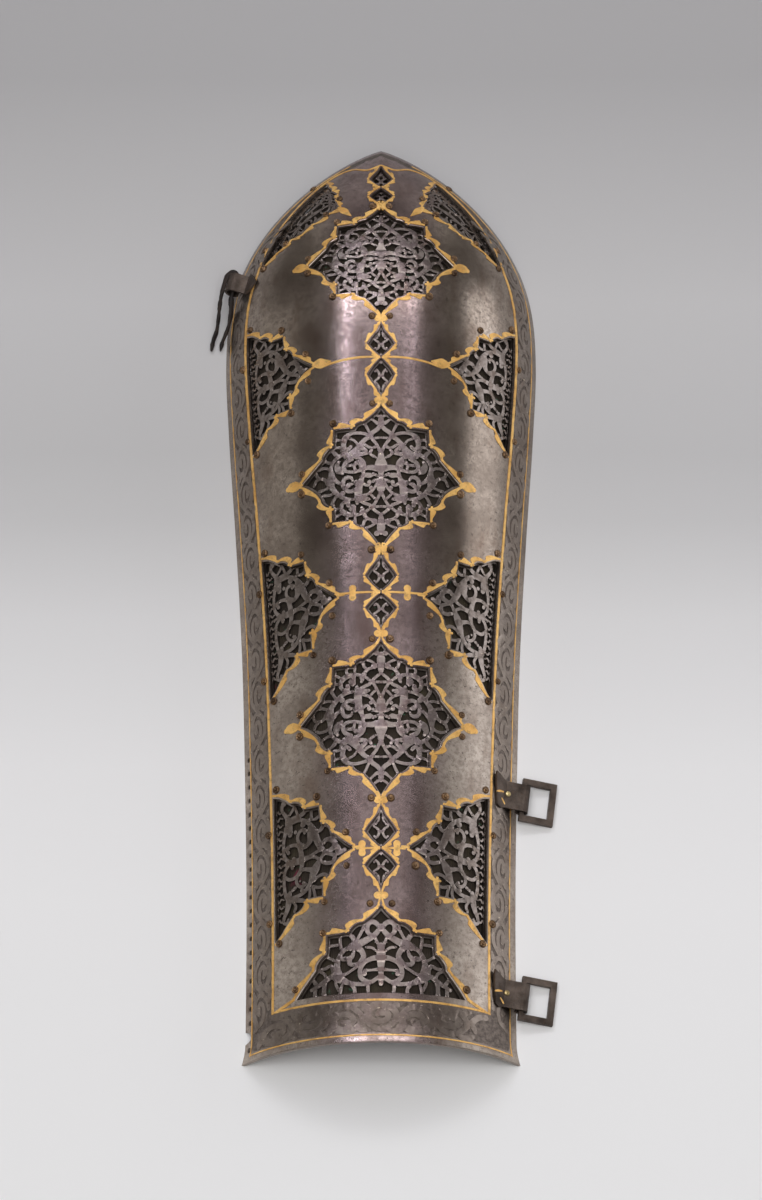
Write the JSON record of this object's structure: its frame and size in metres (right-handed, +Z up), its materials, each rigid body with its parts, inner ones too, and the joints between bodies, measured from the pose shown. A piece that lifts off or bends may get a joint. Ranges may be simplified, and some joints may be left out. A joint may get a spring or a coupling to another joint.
{
  "type": "forearm guard",
  "caption": "Steel forearm guard, a domed trough pointed over the elbow, with pierced panels in gilt borders, a lining, swinging buckle frames and a leather thong.",
  "frame": {"origin": "middle of the guard's box, on the surface that it lies on", "axes": "+Y along the forearm from the wrist rim to the elbow tip, +Z up out of the trough's crown, +X towards the buckles"},
  "size_m": [0.1214, 0.3452, 0.0353],
  "materials": {
    "dark_steel": "aged dark steel with a brown patina, satin",
    "pierced_steel": "cut openwork with lighter worn faces",
    "gilt": "worn gilding on the borders, rivets and strap pins",
    "lining_cloth": "old brown cloth with green stains",
    "iron": "dark forged iron",
    "black_leather": "old black leather, dull"
  },
  "bodies": {
    "guard": {"shell": "dark_steel", "lozenge_panel_1": "pierced_steel", "lozenge_panel_2": "pierced_steel", "lozenge_panel_3": "pierced_steel", "half_lozenge_panel": "pierced_steel", "diamond_panel_1": "pierced_steel", "diamond_panel_2": "pierced_steel", "diamond_panel_3": "pierced_steel", "diamond_panel_4": "pierced_steel", "side_panel_left_1": "pierced_steel", "side_panel_left_2": "pierced_steel", "side_panel_left_3": "pierced_steel", "side_panel_left_4": "pierced_steel", "side_panel_right_1": "pierced_steel", "side_panel_right_2": "pierced_steel", "side_panel_right_3": "pierced_steel", "side_panel_right_4": "pierced_steel", "lining": "lining_cloth", "buckle_strap_upper": "iron", "buckle_strap_lower": "iron", "thong_tab": "iron", "thong": "black_leather"},
    "upper_frame": {"buckle_frame_upper": "iron"},
    "lower_frame": {"buckle_frame_lower": "iron"}
  },
  "joints": [
    {"name": "upper_frame_swing", "type": "hinge", "parent": "guard", "child": "upper_frame", "pos_m": [0.04874, -0.07841, 0.0034], "axis": [-0.1219, -0.9925, 0], "range_deg": [-75, 140]},
    {"name": "lower_frame_swing", "type": "hinge", "parent": "guard", "child": "lower_frame", "pos_m": [0.04768, -0.14991, 0.0034], "axis": [-0.1219, -0.9925, 0], "range_deg": [-75, 140]}
  ]
}
